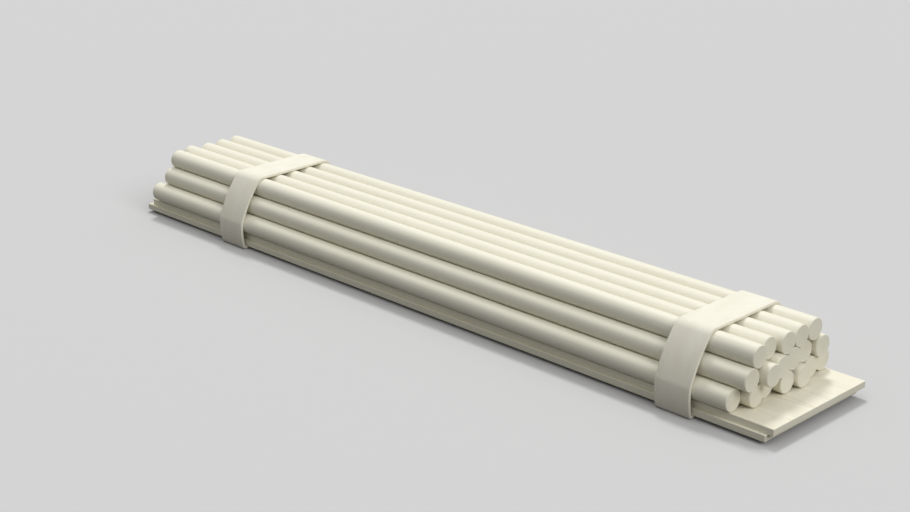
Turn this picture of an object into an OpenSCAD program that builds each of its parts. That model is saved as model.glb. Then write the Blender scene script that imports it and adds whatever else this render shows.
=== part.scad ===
// Stack of plastic pipes on a base of two boards, held together by two wide flat straps.
// X runs along the pipes, Y from the near side to the far side, and Z points up.
// The origin is on the floor, under the middle of the stack's outer box. Sizes are in millimetres.

/* [Pipes] */
// Outside diameter of a pipe
pipe_diameter = 75; // [63:1:90]
// Wall thickness of a pipe
pipe_wall = 3.6; // [2.2:0.2:6]
// Length of a pipe
pipe_length = 2900; // [2000:50:4000]
// Chamfer on the outer edge of a pipe's sawn ends
pipe_chamfer = 1; // [0.4:0.2:1.6]
// Room between neighbouring pipes, and between the bottom row and its board
pipe_gap = 0.3; // [0.1:0.1:0.6]

/* [End plugs] */
// Thickness of a plug's flange
flange_thickness = 2.5; // [2:0.5:5]
// How far the flange's rim stays inside the outer face of its pipe
flange_inset = 1; // [0.6:0.2:1.4]
// Chamfer round the flange's outer face
flange_chamfer = 1; // [0.4:0.2:1.6]
// Length of a plug's shank in the bore
shank_length = 22; // [15:1:40]
// Wall thickness of the shank
shank_wall = 2.4; // [1.6:0.2:4]
// Room between the shank and the bore, all round
shank_clearance = 0.2; // [0.1:0.05:0.4]

/* [Boards] */
// Thickness of one board
board_thickness = 23; // [16:1:30]
// How much narrower a board is than the bottom row of pipes
board_margin = 31; // [22:1:40]
// How far the upper board reaches past the left ends of the pipes
left_overhang = 76; // [60:1:150]
// How far the upper board reaches past the right ends of the pipes
right_overhang = 119; // [60:1:200]
// Rounding of the boards' long edges
board_round = 2; // [1:0.5:4]
// How far the lower board has slipped to the left of the upper one
board_slip = 22; // [0:1:40]
// How far the upper board lies towards the far side
upper_shift = 8.5; // [6:0.5:10]
// How far the lower board lies towards the near side
lower_shift = 3; // [0:0.5:6]

/* [Straps] */
// Width of a strap
strap_width = 136; // [80:2:200]
// Thickness of a strap
strap_thickness = 11; // [5:0.5:14]
// From the left ends of the pipes to the middle of the left strap
left_strap_inset = 488; // [200:1:700]
// From the right ends of the pipes to the middle of the right strap
right_strap_inset = 235; // [200:1:700]
// Room between a strap and what it holds
strap_clearance = 0.3; // [0.1:0.1:0.6]

/* [Hidden] */
$fn = 96;
cream = [0.94, 0.92, 0.83];
pale_wood = [0.93, 0.9, 0.81];
webbing = [0.95, 0.93, 0.86];

// Depth at which a strap's straight runs start inside its bends
strap_seam = 0.01;

// Rows from the bottom up, and how far each pipe is pushed along X, the near pipe first
row_names = ["bottom", "middle", "top"];
row_shifts = [
    [-42, -11, -30, -4, 8, -18, -26],
    [-4, 22, 4, -8, -20, -5],
    [-6, -26, -8, -11, -12]
];
top_row = len(row_names) - 1;

outer_radius = pipe_diameter / 2;
bore_radius = outer_radius - pipe_wall;
flange_radius = outer_radius - flange_inset;
shank_radius = bore_radius - shank_clearance;

// Pipes of equal diameter nest at the corners of equal triangles
pipe_pitch = pipe_diameter + pipe_gap;
row_rise = pipe_pitch * sin(60);

board_length = left_overhang + pipe_length + right_overhang;
board_width = (len(row_shifts[0]) - 1) * pipe_pitch + pipe_diameter - board_margin;
lower_board_z = strap_thickness + strap_clearance;
upper_board_z = lower_board_z + board_thickness;
bottom_row_z = upper_board_z + board_thickness + pipe_gap + outer_radius;

// The outer box reaches from the lower board's left end to the upper board's right end
upper_board_x = board_slip / 2;
lower_board_x = -board_slip / 2;
stack_x = upper_board_x + (left_overhang - right_overhang) / 2;
left_strap_x = stack_x - pipe_length / 2 + left_strap_inset;
right_strap_x = stack_x + pipe_length / 2 - right_strap_inset;

function pipe_name(row, place) = str("pipe_", row_names[row], "_", place + 1);
function last_place(row) = len(row_shifts[row]) - 1;
function pipe_y(row, place) = (place - last_place(row) / 2) * pipe_pitch;
function pipe_z(row) = bottom_row_z + row * row_rise;

pipe_places = [
    for (row = [0:top_row])
        for (place = [0:last_place(row)])
            [row, place]
];

// A stop is a round thing that a taut outline passes: [y, z, radius]
function pipe_stop(row, place) = [pipe_y(row, place), pipe_z(row), outer_radius];
function board_stop(shift, bottom_z, side) = [
    shift + side * (board_width / 2 - board_round),
    bottom_z + board_round,
    board_round
];
function widened(stops, extra) = [for (s = stops) [s[0], s[1], s[2] + extra]];

// Angle at which the line from stop a to stop b leaves both, outside a loop that runs anticlockwise
function tangent_angle(a, b) =
    let (dy = b[0] - a[0], dz = b[1] - a[1])
    atan2(dz, dy) - acos((a[2] - b[2]) / norm([dy, dz]));

// The point of a stop's rim at an angle, moved in towards the middle by a depth
function rim_point(stop, angle, depth) =
    let (reach = stop[2] - depth)
    [stop[0] + reach * cos(angle), stop[1] + reach * sin(angle)];

// The stops that a strap bends round, anticlockwise from the lower board's near edge
strap_stops = [
    board_stop(-lower_shift, lower_board_z, -1),
    board_stop(-lower_shift, lower_board_z, 1),
    board_stop(upper_shift, upper_board_z, 1),
    pipe_stop(0, last_place(0)),
    pipe_stop(top_row, last_place(top_row)),
    pipe_stop(top_row, 0),
    pipe_stop(0, 0)
];

// Outline of a band pulled tight round the stops, made of arcs and the straight lines between them.
// The straight lines start a depth of seam inside the arcs, so that they cross the arcs cleanly.
module taut_outline(stops, seam) {
    count = len(stops);
    for (stop = stops)
        translate([stop[0], stop[1]])
            circle(r = stop[2]);
    polygon([
        for (i = [0:count - 1])
            let (a = stops[i], b = stops[(i + 1) % count], angle = tangent_angle(a, b))
            each [rim_point(a, angle, seam), rim_point(b, angle, seam)]
    ]);
}

// Stands a section drawn in Y and Z up and draws it out along X, to both sides of its middle
module along_x(length) {
    rotate([90, 0, 90])
        linear_extrude(length, center = true)
            children();
}

// Moves a piece to one end of a pipe: side is -1 at the left end and 1 at the right end
module at_pipe_end(row, place, side) {
    translate([
        stack_x + row_shifts[row][place] + side * pipe_length / 2,
        pipe_y(row, place),
        pipe_z(row)
    ])
        rotate([0, side * 90, 0])
            children();
}

module pipe(row, place) {
    color(cream)
        at_pipe_end(row, place, 1)
            rotate_extrude()
                polygon([
                    [bore_radius, 0],
                    [outer_radius - pipe_chamfer, 0],
                    [outer_radius, -pipe_chamfer],
                    [outer_radius, pipe_chamfer - pipe_length],
                    [outer_radius - pipe_chamfer, -pipe_length],
                    [bore_radius, -pipe_length]
                ]);
}

// A closed disc on the pipe's end, with a hollow shank that is pushed into the bore
module end_plug() {
    rotate_extrude()
        polygon([
            [0, flange_thickness],
            [flange_radius - flange_chamfer, flange_thickness],
            [flange_radius, flange_thickness - flange_chamfer],
            [flange_radius, 0],
            [shank_radius, 0],
            [shank_radius, -shank_length],
            [shank_radius - shank_wall, -shank_length],
            [shank_radius - shank_wall, 0],
            [0, 0]
        ]);
}

module end_plugs(side) {
    color(cream)
        for (p = pipe_places)
            at_pipe_end(p[0], p[1], side)
                end_plug();
}

// A sawn board with its long edges rounded
module board(x, shift, bottom_z) {
    flat_width = board_width - 2 * board_round;
    flat_height = board_thickness - 2 * board_round;
    color(pale_wood)
        translate([x, shift, bottom_z + board_thickness / 2])
            along_x(board_length) {
                square([board_width, flat_height], center = true);
                square([flat_width, board_thickness], center = true);
                for (side = [-1, 1], level = [-1, 1])
                    translate([side * flat_width / 2, level * flat_height / 2])
                        circle(r = board_round);
            }
}

module upper_board() {
    board(upper_board_x, upper_shift, upper_board_z);
}

module lower_board() {
    board(lower_board_x, -lower_shift, lower_board_z);
}

module strap(x) {
    color(webbing)
        translate([x, 0, 0])
            along_x(strap_width)
                difference() {
                    taut_outline(widened(strap_stops, strap_clearance + strap_thickness), strap_seam);
                    taut_outline(widened(strap_stops, strap_clearance), strap_seam);
                }
}

for (p = pipe_places)
    pipe(p[0], p[1]);
end_plugs(-1);  // left_end_plugs
end_plugs(1);  // right_end_plugs
upper_board();
lower_board();
strap(left_strap_x);  // left_strap
strap(right_strap_x);  // right_strap
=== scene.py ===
"""Looks of the strapped stack of pipes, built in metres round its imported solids.

A material's patterns are in waves a metre along X, Y and Z. A tint is the most that another
colour is mixed in, a height is a share of the relief, and the relief is in metres.
"""

import math
from collections import namedtuple

import bmesh
import bpy
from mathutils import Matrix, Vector
from mathutils.geometry import interpolate_bezier


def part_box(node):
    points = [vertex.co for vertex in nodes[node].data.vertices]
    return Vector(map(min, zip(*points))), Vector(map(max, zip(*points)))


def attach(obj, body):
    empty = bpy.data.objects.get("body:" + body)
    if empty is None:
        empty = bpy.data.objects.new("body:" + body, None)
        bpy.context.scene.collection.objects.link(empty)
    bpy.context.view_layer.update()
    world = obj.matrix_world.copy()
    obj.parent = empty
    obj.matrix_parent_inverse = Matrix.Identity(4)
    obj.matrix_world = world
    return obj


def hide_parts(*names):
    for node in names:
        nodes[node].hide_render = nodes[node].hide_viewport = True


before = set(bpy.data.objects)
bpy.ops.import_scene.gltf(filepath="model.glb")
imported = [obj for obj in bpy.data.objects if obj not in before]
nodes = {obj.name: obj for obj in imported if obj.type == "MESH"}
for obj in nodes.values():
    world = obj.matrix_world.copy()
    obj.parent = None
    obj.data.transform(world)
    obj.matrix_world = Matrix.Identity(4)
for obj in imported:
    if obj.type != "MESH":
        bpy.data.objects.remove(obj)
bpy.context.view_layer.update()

# A round thing that a strap bends round, with the angle by which the next run bows out at each end
Stop = namedtuple("Stop", "y z radius bow")

# A point of a strap's inner face, with its outward angle
PathPoint = namedtuple("PathPoint", "y z angle")

# A distant lamp: direction that it shines from, strength, and how wide it looks
Lamp = namedtuple("Lamp", "source strength angle")

PIPE_NODES = [name for name in nodes if name.startswith("pipe_")]
PLUG_NODES = ["left_end_plugs", "right_end_plugs"]
BOARD_NODES = ["upper_board", "lower_board"]
STRAP_NODES = ["left_strap", "right_strap"]

# Sides of the stack along Y
NEAR, FAR = -1, 1

# Colours, as linear values
CREAM = (0.80, 0.77, 0.63)
CREAM_PALE = (0.84, 0.815, 0.69)
CREAM_DEEP = (0.70, 0.655, 0.50)
LATEWOOD = (0.66, 0.60, 0.42)
YARN = (0.83, 0.80, 0.67)
YARN_PALE = (0.87, 0.85, 0.74)
FLOOR_SEEN = (0.55, 0.55, 0.55)
FLOOR_BOUNCE = (0.13, 0.13, 0.13)
WHITE = (1.0, 1.0, 1.0, 1.0)

# Values of a noise: nearly all of them, those in the middle, and its peaks
NOISE_ALL = (0.3, 0.7)
NOISE_MIDDLE = (0.35, 0.65)
NOISE_PEAKS = (0.5, 0.75)

# Grain, strength of the bumps, and gloss on the shader's own scale, which several materials share
FINE_GRAIN = (900.0, 900.0, 900.0)
BUMP_STRENGTH = 0.6
PLASTIC_GLOSS = 0.35
DULL_GLOSS = 0.3

# Plastic of the pipes: the shade of each pipe with its clouds, the lines of the die, and rubs
PIPE_CLOUDS = (1.6, 9.0, 9.0)
BATCH_SHARE = 0.6
CLOUD_SHARE = 0.4
DIE_LINES = (0.8, 420.0, 420.0)
LINE_PEAKS = (0.4, 0.8)
LINE_TINT = 0.3
PIPE_RUBS = (3.0, 120.0, 120.0)
RUB_PEAKS = (0.60, 0.76)
RUB_TINT = 0.35
RUB_ROUGHNESS = 0.15
RUB_HEIGHT = 0.5
PIPE_ROUGHNESS = (0.5, 0.6)
PIPE_RELIEF = 0.00018

# Plastic of the plugs: clouds, and flow marks from the mould
PLUG_CLOUDS = (6.0, 15.0, 15.0)
PLUG_FLOW = (30.0, 60.0, 60.0)
FLOW_TINT = 0.18
PLUG_ROUGHNESS = (0.52, 0.66)
PLUG_RELIEF = 0.00016

# Boards: rounding of their edges
BOARD_ROUND = 0.002
ROUND_STEPS = 4

# Wood of the boards: glued staves, with growth rings round a pith that drifts up and down along X
STAVE_WIDTH = 0.094
GLUE_LINE = 0.0005
GLUE_TINT = 0.6
PITH_HEIGHTS = (-0.03, -0.105)
PITH_DRIFT = 0.05
DRIFT_WAVES = 0.7
DRIFT_START_MOST = 40.0
RING_WIDTH = 0.0058
RING_WAVES = (2.5, 30.0, 30.0)
RING_WOBBLE = 0.004

# Dark late wood in the outer part of each ring, and the fibres
LATEWOOD_SPAN = (0.25, 0.97)
LATEWOOD_POWER = 2.0
LATEWOOD_TINT = 0.42
LATEWOOD_HEIGHT = 0.5
WOOD_FIBRES = (9.0, 700.0, 700.0)
FIBRE_TINT = 0.3
WOOD_ROUGHNESS = (0.62, 0.78)
WOOD_RELIEF = 0.00018

# Yarn of the straps: clouds, painted shade in the gaps between the threads, and fuzz
YARN_CLOUDS = (24.0, 9.0, 9.0)
GAP_SHADE_SPAN = (0.1, 0.7)
GAP_SHADE_TINT = 0.3
FUZZ_HEIGHT = 0.25
YARN_ROUGHNESS = (0.75, 0.9)
YARN_RELIEF = 0.0005
YARN_BUMP_STRENGTH = 0.55
YARN_SHEEN = 0.12

# Straps: room round what they hold, bow of the slanting runs, and more room at the near corner
STRAP_CLEARANCE = 0.0003
STRAP_BOW = math.radians(10)
STRAP_STANDOFF = 0.006

# Threads, ribs and round edges of the webbing
WEFT_PITCH = 0.0044
THREAD_MAP = "threads"
THREADS_A_RIB = 2
RIB_COUNT = 17
RIB_DEPTH = 0.0005
RIB_STEPS = 6
GROOVE_SHARPNESS = 6
SELVEDGE_RADIUS = 0.003
SELVEDGE_STEPS = 5
ARC_STEP = math.radians(4)
ARC_STEPS_LEAST = 3
RUN_STEP = 0.012

# Soft light from the horizon and from overhead, and the backdrop that shows beyond the floor
WORLD_HORIZON = 0.03
WORLD_ZENITH = 0.86
WORLD_SEEN = 0.66
FLOOR_SIZE = 60.0
FLOOR_ROUGHNESS = 0.9

KEY_LAMP = Lamp(source=(-0.40, 0.375, 0.835), strength=1.44, angle=math.radians(12))
FILL_LAMP = Lamp(source=(0.80, 0.0, 0.60), strength=1.05, angle=math.radians(30))

# Camera, from a fit to the straight lines of the photograph
LENS_MM = 66.93
SENSOR_MM = 36.0
CAMERA_AZIMUTH = math.radians(44.93)
CAMERA_ELEVATION = math.radians(20.06)
CAMERA_PLACE = Vector((4.072, -4.0875, 2.245))
CAMERA_REACH = 100.0

# Sockets of a Mix node that take and give colours
MIX_FIRST, MIX_SECOND, MIX_RESULT = 6, 7, 2


def middle(low, high):
    return (low + high) / 2


def pipe_row(row):
    """Names of the pipes in a row, from the near side to the far side."""
    names = [name for name in PIPE_NODES if f"_{row}_" in name]
    return sorted(names, key=lambda name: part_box(name)[0].y)


class Graph:
    """The node tree of a material or a world, with short ways to add and join its nodes."""

    def __init__(self, owner, shader="Principled BSDF"):
        owner.use_nodes = True
        self.owner = owner
        self.tree = owner.node_tree
        self.shader = self.tree.nodes[shader]

    def add(self, kind, values=None, **settings):
        made = self.tree.nodes.new(kind)
        for key, value in settings.items():
            setattr(made, key, value)
        for socket, value in (values or {}).items():
            self.feed(made, socket, value)
        return made

    def feed(self, made, socket, value):
        """Sets an input, or joins it to another node's output."""
        if isinstance(value, bpy.types.NodeSocket):
            self.tree.links.new(value, made.inputs[socket])
        else:
            made.inputs[socket].default_value = value

    def finish(self, values):
        """Feeds the shader itself, and returns the material or world."""
        for socket, value in values.items():
            self.feed(self.shader, socket, value)
        return self.owner

    def place(self):
        """Place on the object, in metres."""
        return self.add("ShaderNodeTexCoord").outputs["Object"]

    def split(self, vector):
        return self.add("ShaderNodeSeparateXYZ", {"Vector": vector}).outputs

    def noise(self, waves, detail, distortion=0.0):
        stretched = self.add("ShaderNodeMapping", {"Vector": self.place(), "Scale": waves})
        made = self.add("ShaderNodeTexNoise", {
            "Vector": stretched.outputs["Vector"],
            "Scale": 1.0, "Detail": detail, "Distortion": distortion,
        })
        return made.outputs["Fac"]

    def remap(self, value, span, result=(0.0, 1.0)):
        made = self.add("ShaderNodeMapRange", {
            "Value": value,
            "From Min": span[0], "From Max": span[1],
            "To Min": result[0], "To Max": result[1],
        })
        return made.outputs["Result"]

    def math(self, operation, *values):
        return self.add("ShaderNodeMath", dict(enumerate(values)), operation=operation).outputs[0]

    def mix(self, amount, first, second):
        """Colour between two others, each a tuple or another node's output."""
        ends = [c if isinstance(c, bpy.types.NodeSocket) else (*c, 1.0) for c in (first, second)]
        values = {"Factor": amount, MIX_FIRST: ends[0], MIX_SECOND: ends[1]}
        return self.add("ShaderNodeMix", values, data_type="RGBA").outputs[MIX_RESULT]

    def bump(self, height, distance, strength=BUMP_STRENGTH):
        values = {"Height": height, "Distance": distance, "Strength": strength}
        return self.add("ShaderNodeBump", values).outputs["Normal"]

    def seen(self):
        """1 where the camera sees this, also mirrored or through glass, and 0 for other light."""
        rays = self.add("ShaderNodeLightPath").outputs
        indirect = self.math("MAXIMUM", rays["Is Glossy Ray"], rays["Is Transmission Ray"])
        return self.math("MAXIMUM", rays["Is Camera Ray"], indirect)


def new_material(name):
    return Graph(bpy.data.materials.new(name))


def pipe_material():
    """Extruded plastic: each pipe a shade of its own, with faint lines and rubs along it."""
    g = new_material("pipe_plastic")
    batch = g.add("ShaderNodeObjectInfo").outputs["Random"]
    clouds = g.remap(g.noise(PIPE_CLOUDS, detail=2.0), NOISE_ALL)
    lines = g.noise(DIE_LINES, detail=4.0)
    rubs = g.remap(g.noise(PIPE_RUBS, detail=6.0, distortion=0.3), RUB_PEAKS)
    shade = g.math("MULTIPLY_ADD", batch, BATCH_SHARE, g.math("MULTIPLY", clouds, CLOUD_SHARE))
    colour = g.mix(shade, CREAM, CREAM_PALE)
    colour = g.mix(g.remap(lines, LINE_PEAKS, (0.0, LINE_TINT)), colour, CREAM_DEEP)
    colour = g.mix(g.math("MULTIPLY", rubs, RUB_TINT), colour, CREAM_PALE)
    rough = g.math("MULTIPLY_ADD", rubs, RUB_ROUGHNESS, g.remap(lines, NOISE_ALL, PIPE_ROUGHNESS))
    relief = g.math("MULTIPLY_ADD", rubs, RUB_HEIGHT, lines)
    return g.finish({
        "Base Color": colour,
        "Roughness": rough,
        "Normal": g.bump(relief, PIPE_RELIEF),
        "Specular IOR Level": PLASTIC_GLOSS,
    })


def plug_material():
    """Moulded plastic with a fine spark-eroded grain and faint flow marks."""
    g = new_material("plug_plastic")
    clouds = g.remap(g.noise(PLUG_CLOUDS, detail=2.0), NOISE_MIDDLE)
    flow = g.remap(g.noise(PLUG_FLOW, detail=3.0, distortion=2.0), NOISE_PEAKS)
    grain = g.noise(FINE_GRAIN, detail=2.0)
    colour = g.mix(clouds, CREAM, CREAM_PALE)
    colour = g.mix(g.math("MULTIPLY", flow, FLOW_TINT), colour, CREAM_DEEP)
    return g.finish({
        "Base Color": colour,
        "Roughness": g.remap(grain, NOISE_ALL, PLUG_ROUGHNESS),
        "Normal": g.bump(grain, PLUG_RELIEF),
        "Specular IOR Level": PLASTIC_GLOSS,
    })


def growth_rings(g, place, stave, dice):
    """How far through its ring each point of a stave is, 0 to 1, round the stave's own pith."""
    x, y, z = place
    pith_y = g.math("MULTIPLY", g.math("ADD", stave, dice[0]), STAVE_WIDTH)
    drift = g.add("ShaderNodeTexNoise", {
        "W": g.math("MULTIPLY_ADD", dice[2], DRIFT_START_MOST, x),
        "Scale": DRIFT_WAVES, "Detail": 1.0,
    }, noise_dimensions="1D").outputs["Fac"]
    lowest = g.remap(dice[1], (0.0, 1.0), PITH_HEIGHTS)
    pith_z = g.math("MULTIPLY_ADD", drift, PITH_DRIFT, lowest)
    side = g.math("SUBTRACT", y, pith_y)
    rise = g.math("SUBTRACT", z, pith_z)
    square = g.math("MULTIPLY_ADD", side, side, g.math("MULTIPLY", rise, rise))
    wobble = g.math("MULTIPLY", g.noise(RING_WAVES, detail=2.0), RING_WOBBLE)
    radius = g.math("ADD", g.math("SQRT", square), wobble)
    return g.math("FRACT", g.math("DIVIDE", radius, RING_WIDTH))


def board_material():
    """Pale glued board: staves of slightly different tone, with rings that run to the ends."""
    g = new_material("board_wood")
    place = g.split(g.place())
    lane = g.math("DIVIDE", place["Y"], STAVE_WIDTH)
    stave = g.math("FLOOR", lane)
    board = g.add("ShaderNodeObjectInfo").outputs["Random"]
    seed = g.add("ShaderNodeCombineXYZ", {"X": stave, "Y": board}).outputs["Vector"]
    dice = g.split(g.add("ShaderNodeTexWhiteNoise", {"Vector": seed}).outputs["Color"])
    rings = growth_rings(g, place, stave, dice)
    late = g.math("POWER", g.remap(rings, LATEWOOD_SPAN), LATEWOOD_POWER)
    fibres = g.noise(WOOD_FIBRES, detail=3.0)
    from_joint = g.math("PINGPONG", lane, 0.5)
    glue = g.remap(from_joint, (0.0, GLUE_LINE / STAVE_WIDTH), (1.0, 0.0))
    colour = g.mix(dice["X"], CREAM, CREAM_PALE)
    colour = g.mix(g.math("MULTIPLY", late, LATEWOOD_TINT), colour, LATEWOOD)
    colour = g.mix(g.remap(fibres, NOISE_PEAKS, (0.0, FIBRE_TINT)), colour, CREAM_DEEP)
    colour = g.mix(g.math("MULTIPLY", glue, GLUE_TINT), colour, LATEWOOD)
    relief = g.math("MULTIPLY_ADD", late, LATEWOOD_HEIGHT, g.math("SUBTRACT", fibres, glue))
    return g.finish({
        "Base Color": colour,
        "Roughness": g.remap(fibres, NOISE_ALL, WOOD_ROUGHNESS),
        "Normal": g.bump(relief, WOOD_RELIEF),
        "Specular IOR Level": DULL_GLOSS,
    })


def plain_weave(g):
    """Height of the threads: each warp thread passes over and under the weft in turn."""
    threads = g.split(g.add("ShaderNodeUVMap", uv_map=THREAD_MAP).outputs["UV"])
    weft_count, warp_count = threads["X"], threads["Y"]
    phase = g.math("MULTIPLY", g.math("ADD", weft_count, g.math("FLOOR", warp_count)), math.pi)
    over = g.remap(g.math("SINE", phase), (-1.0, 1.0))
    under = g.math("SUBTRACT", 1.0, over)
    warp = g.math("ABSOLUTE", g.math("SINE", g.math("MULTIPLY", warp_count, math.pi)))
    weft = g.math("ABSOLUTE", g.math("COSINE", g.math("MULTIPLY", weft_count, math.pi)))
    return g.math("MAXIMUM", g.math("MULTIPLY", warp, over), g.math("MULTIPLY", weft, under))


def strap_material():
    """Webbing of undyed yarn, with painted shade between its threads."""
    g = new_material("strap_webbing")
    weave = plain_weave(g)
    fuzz = g.noise(FINE_GRAIN, detail=3.0)
    clouds = g.remap(g.noise(YARN_CLOUDS, detail=3.0), NOISE_MIDDLE)
    colour = g.mix(clouds, YARN, YARN_PALE)
    # Painted shade: the yarn's colour is darkened where the weave dips between the threads
    colour = g.mix(g.remap(weave, GAP_SHADE_SPAN, (GAP_SHADE_TINT, 0.0)), colour, CREAM_DEEP)
    relief = g.math("MULTIPLY_ADD", fuzz, FUZZ_HEIGHT, weave)
    return g.finish({
        "Base Color": colour,
        "Roughness": g.remap(fuzz, NOISE_ALL, YARN_ROUGHNESS),
        "Normal": g.bump(relief, YARN_RELIEF, YARN_BUMP_STRENGTH),
        "Specular IOR Level": DULL_GLOSS,
        "Sheen Weight": YARN_SHEEN,
    })


def pipe_stop(node, bow=0.0):
    """A pipe as a strap meets it."""
    low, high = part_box(node)
    centre = middle(low, high)
    return Stop(centre.y, centre.z, (high.y - low.y) / 2 + STRAP_CLEARANCE, bow)


def board_stop(node, side, bow=0.0, standoff=0.0):
    """The rounded lower edge of a board, on its near or its far side, as a strap meets it."""
    low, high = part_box(node)
    edge = (low.y if side == NEAR else high.y) + side * standoff
    return Stop(edge - side * BOARD_ROUND, low.z + BOARD_ROUND, BOARD_ROUND + STRAP_CLEARANCE, bow)


def strap_stops():
    """What a strap bends round, anticlockwise in Y and Z from the lower board's near edge."""
    bottom, top = pipe_row("bottom"), pipe_row("top")
    return [
        board_stop("lower_board", NEAR, standoff=STRAP_STANDOFF),
        board_stop("lower_board", FAR),
        board_stop("upper_board", FAR, STRAP_BOW),
        pipe_stop(bottom[-1], STRAP_BOW),
        pipe_stop(top[-1]),
        pipe_stop(top[0], STRAP_BOW),
        pipe_stop(bottom[0], STRAP_BOW),
    ]


def tangent_angle(a, b):
    """Outward angle of a taut line from stop a to stop b, outside an anticlockwise loop."""
    dy, dz = b.y - a.y, b.z - a.z
    return math.atan2(dz, dy) - math.acos((a.radius - b.radius) / math.hypot(dy, dz))


def rim_point(stop, angle):
    y = stop.y + stop.radius * math.cos(angle)
    z = stop.z + stop.radius * math.sin(angle)
    return PathPoint(y, z, angle)


def strap_run(stop, after, angle):
    """Points between two stops, on a curve that turns out by the first stop's bow at both ends."""
    ends = rim_point(stop, angle - stop.bow), rim_point(after, angle + stop.bow)
    first, last = (Vector((end.y, end.z)) for end in ends)
    span = (last - first).length
    handles = [Vector((-math.sin(end.angle), math.cos(end.angle))) * (span / 3) for end in ends]
    steps = math.ceil(span / RUN_STEP)
    curve = interpolate_bezier(first, first + handles[0], last - handles[1], last, steps + 1)
    turns = [angle + stop.bow * (2 * k / steps - 1) for k in range(steps + 1)]
    return [PathPoint(*spot, turn) for spot, turn in zip(curve, turns)][1:-1]


def strap_path(stops):
    """Points of a strap's inner face in order: arcs round the stops, and the runs between them."""
    pairs = list(zip(stops, stops[1:] + stops[:1]))
    leave = [tangent_angle(stop, after) for stop, after in pairs]
    path = []
    for i, (stop, after) in enumerate(pairs):
        start = leave[i - 1] + stops[i - 1].bow
        turn = (leave[i] - stop.bow - start) % (2 * math.pi)
        steps = max(ARC_STEPS_LEAST, math.ceil(turn / ARC_STEP))
        path += [rim_point(stop, start + turn * k / steps) for k in range(steps + 1)]
        path += strap_run(stop, after, leave[i])
    return path


def selvedge(x, height, start):
    """A quarter of a round edge, anticlockwise from a start angle in degrees."""
    angles = [math.radians(start + 90 * k / SELVEDGE_STEPS) for k in range(SELVEDGE_STEPS + 1)]
    return [
        (x + SELVEDGE_RADIUS * math.cos(angle), height + SELVEDGE_RADIUS * math.sin(angle))
        for angle in angles
    ]


def strap_section(width, thickness, rib_depth):
    """Section across a strap, anticlockwise from its ribbed outer face, with round edges."""
    edge = width / 2 - SELVEDGE_RADIUS
    inner, outer = SELVEDGE_RADIUS, thickness - SELVEDGE_RADIUS
    steps = RIB_COUNT * RIB_STEPS
    ribs = []
    for k in range(1, steps):
        groove = abs(math.cos(math.pi * k / RIB_STEPS)) ** GROOVE_SHARPNESS
        ribs.append((edge - 2 * edge * k / steps, thickness - rib_depth * groove))
    right = selvedge(edge, inner, -90) + selvedge(edge, outer, 0)
    left = selvedge(-edge, outer, 90) + selvedge(-edge, inner, 180)
    return right[-1:] + ribs + left + right[:-1]


def lengths_round(points):
    """Length so far at each point of a closed loop, and at last the whole loop's length."""
    lengths = [0.0]
    for k, point in enumerate(points):
        lengths.append(lengths[-1] + math.dist(point, points[(k + 1) % len(points)]))
    return lengths


def strap_threads(path, width, thickness):
    """Threads counted along the path, in whole pairs round the loop, and across the section."""
    along = lengths_round([(point.y, point.z) for point in path])
    across = lengths_round(strap_section(width, thickness, rib_depth=0.0))
    weft_pitch = along[-1] / (2 * round(along[-1] / (2 * WEFT_PITCH)))
    warp_pitch = (width - 2 * SELVEDGE_RADIUS) / (RIB_COUNT * THREADS_A_RIB)
    return [length / weft_pitch for length in along], [length / warp_pitch for length in across]


def add_piece(name, mesh, material, node):
    """A piece of the object in place of a plain solid."""
    mesh.polygons.foreach_set("use_smooth", [True] * len(mesh.polygons))
    mesh.materials.append(material)
    piece = bpy.data.objects.new(name, mesh)
    bpy.context.scene.collection.objects.link(piece)
    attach(piece, "root")
    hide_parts(node)
    return piece


def make_strap(node, path, material):
    """A closed band of webbing that follows the path, in place of its plain solid."""
    low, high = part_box(node)
    centre, width = middle(low, high), high.x - low.x
    pipes_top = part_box(pipe_row("top")[0])[1].z
    thickness = high.z - pipes_top - STRAP_CLEARANCE
    section = strap_section(width, thickness, RIB_DEPTH)
    vertices = []
    for point in path:
        out_y, out_z = math.cos(point.angle), math.sin(point.angle)
        vertices += [
            (centre.x + x, point.y + height * out_y, point.z + height * out_z)
            for x, height in section
        ]
    weft, warp = strap_threads(path, width, thickness)
    faces, threads = [], []
    for i in range(len(path)):
        ring, next_ring = i * len(section), (i + 1) % len(path) * len(section)
        for k in range(len(section)):
            next_k = (k + 1) % len(section)
            faces.append((ring + k, ring + next_k, next_ring + next_k, next_ring + k))
            threads += [
                (weft[i], warp[k]), (weft[i], warp[k + 1]),
                (weft[i + 1], warp[k + 1]), (weft[i + 1], warp[k]),
            ]
    mesh = bpy.data.meshes.new(node + "_webbing")
    mesh.from_pydata(vertices, [], faces)
    thread_map = mesh.uv_layers.new(name=THREAD_MAP)
    for corner, spot in zip(thread_map.data, threads):
        corner.uv = spot
    add_piece(node + "_webbing", mesh, material, node)


def make_board(node, material):
    """A board with all its edges eased, in place of its square-ended solid."""
    low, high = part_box(node)
    shape = bmesh.new()
    bmesh.ops.create_cube(shape, size=1.0)
    bmesh.ops.scale(shape, vec=high - low, verts=shape.verts)
    bmesh.ops.translate(shape, vec=middle(low, high), verts=shape.verts)
    bmesh.ops.bevel(
        shape, geom=shape.edges[:], affect="EDGES",
        offset=BOARD_ROUND, segments=ROUND_STEPS, profile=0.5,
    )
    mesh = bpy.data.meshes.new(node + "_sawn")
    shape.to_mesh(mesh)
    shape.free()
    board = add_piece(node + "_sawn", mesh, material, node)
    board.modifiers.new("flat_faces", "WEIGHTED_NORMAL")


def dress(names, material):
    """Gives a material to solids that keep their own shape."""
    for name in names:
        slots = nodes[name].data.materials
        slots.clear()
        slots.append(material)


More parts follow.
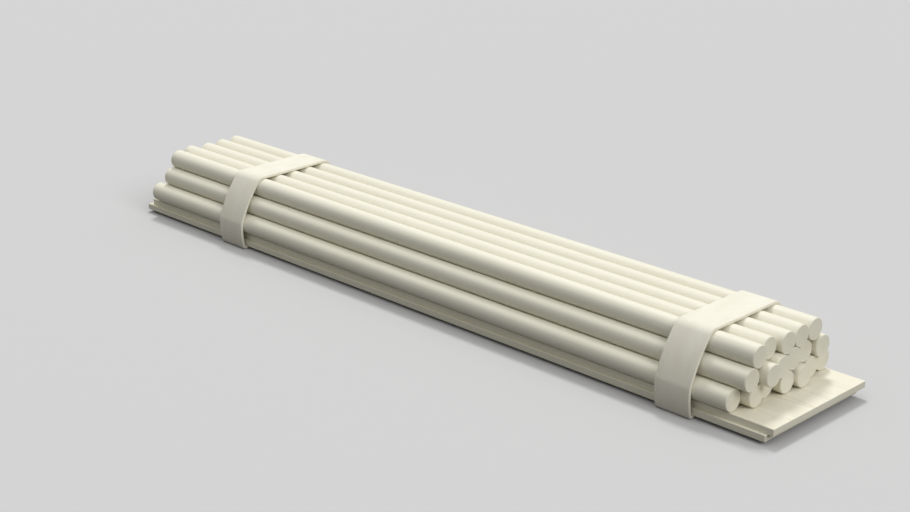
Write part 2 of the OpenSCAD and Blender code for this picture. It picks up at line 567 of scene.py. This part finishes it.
def make_floor():
    """A plain floor that looks pale, but throws little light back at the object."""
    bpy.ops.mesh.primitive_plane_add(size=FLOOR_SIZE)
    floor = bpy.context.object
    floor.name = "floor"
    g = new_material("floor_paint")
    paint = g.mix(g.seen(), FLOOR_BOUNCE, FLOOR_SEEN)
    floor.data.materials.append(g.finish({"Base Color": paint, "Roughness": FLOOR_ROUGHNESS}))


def make_lamp(name, lamp):
    """A distant soft lamp, which lights the whole floor evenly."""
    data = bpy.data.lights.new(name, "SUN")
    data.energy = lamp.strength
    data.angle = lamp.angle
    made = bpy.data.objects.new(name, data)
    made.rotation_euler = Vector(lamp.source).to_track_quat("Z", "Y").to_euler()
    bpy.context.scene.collection.objects.link(made)


def make_world():
    """Soft light, strongest overhead and fading to the horizon, before a plain pale backdrop."""
    g = Graph(bpy.data.worlds.new("studio"), "Background")
    height = g.split(g.add("ShaderNodeTexCoord").outputs["Generated"])["Z"]
    light = g.remap(height, (0.0, 1.0), (WORLD_HORIZON, WORLD_ZENITH))
    strength = g.add("ShaderNodeMix", {"Factor": g.seen(), "A": light, "B": WORLD_SEEN})
    bpy.context.scene.world = g.finish({"Color": WHITE, "Strength": strength.outputs["Result"]})


def make_camera():
    data = bpy.data.cameras.new("camera")
    data.sensor_fit = "HORIZONTAL"
    data.sensor_width = SENSOR_MM
    data.lens = LENS_MM
    data.clip_end = CAMERA_REACH
    camera = bpy.data.objects.new("camera", data)
    camera.location = CAMERA_PLACE
    camera.rotation_euler = (math.pi / 2 - CAMERA_ELEVATION, 0.0, CAMERA_AZIMUTH)
    bpy.context.scene.collection.objects.link(camera)
    bpy.context.scene.camera = camera


dress(PIPE_NODES, pipe_material())
dress(PLUG_NODES, plug_material())
wood = board_material()
for board_node in BOARD_NODES:
    make_board(board_node, wood)
webbing = strap_material()
strap_line = strap_path(strap_stops())
for strap_node in STRAP_NODES:
    make_strap(strap_node, strap_line, webbing)
make_floor()
make_lamp("key", KEY_LAMP)
make_lamp("fill", FILL_LAMP)
make_world()
make_camera()
bpy.context.scene.view_settings.view_transform = "Standard"
